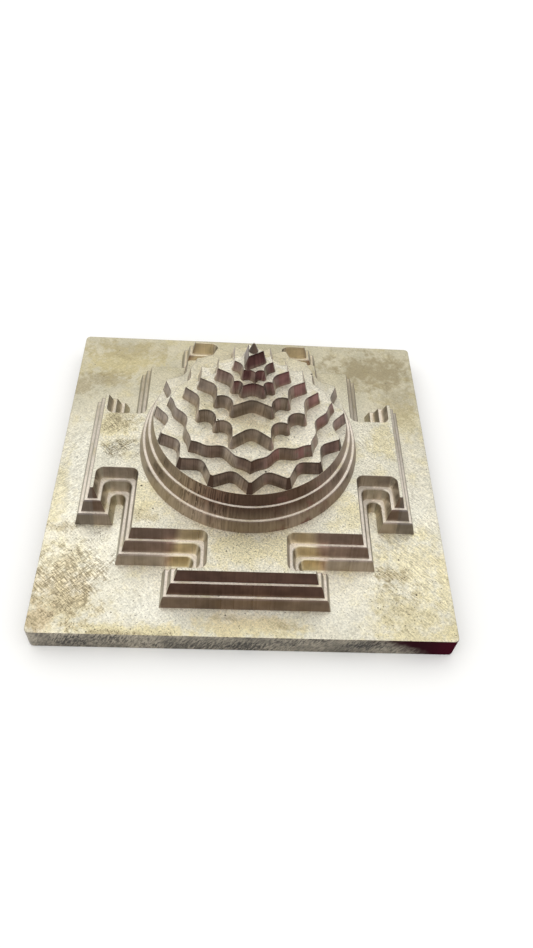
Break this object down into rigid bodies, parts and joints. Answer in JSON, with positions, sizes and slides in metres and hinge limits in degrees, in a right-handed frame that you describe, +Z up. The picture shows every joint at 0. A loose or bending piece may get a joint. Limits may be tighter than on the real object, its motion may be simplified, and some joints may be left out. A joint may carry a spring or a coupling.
{
  "type": "meru shri yantra",
  "caption": "Square brass plate with a stepped yantra milled in relief: gated square terraces, round terraces, lotus rings and pointed star tiers that rise to a small central point.",
  "frame": {"origin": "centre of the flat underside of the base plate", "axes": "+Z up through the bindu, +X along the long axis of the star towards the point of the central triangle, -Y the side that faces the viewer in the picture"},
  "size_m": [0.0762, 0.0762, 0.0389],
  "materials": {
    "milled_brass": "as milled, satin tops with fine tool lines and light grey-brown tarnish, darker glossier walls"
  },
  "bodies": {
    "root": {"base_plate": "milled_brass", "square_step_lower": "milled_brass", "square_step_middle": "milled_brass", "square_step_upper": "milled_brass", "circle_step_lower": "milled_brass", "circle_step_middle": "milled_brass", "circle_step_upper": "milled_brass", "sixteen_petal_tier": "milled_brass", "eight_petal_tier": "milled_brass", "fourteen_point_tier": "milled_brass", "outer_ten_point_tier": "milled_brass", "inner_ten_point_tier": "milled_brass", "eight_point_tier": "milled_brass", "central_triangle": "milled_brass", "bindu_point": "milled_brass"}
  },
  "joints": []
}
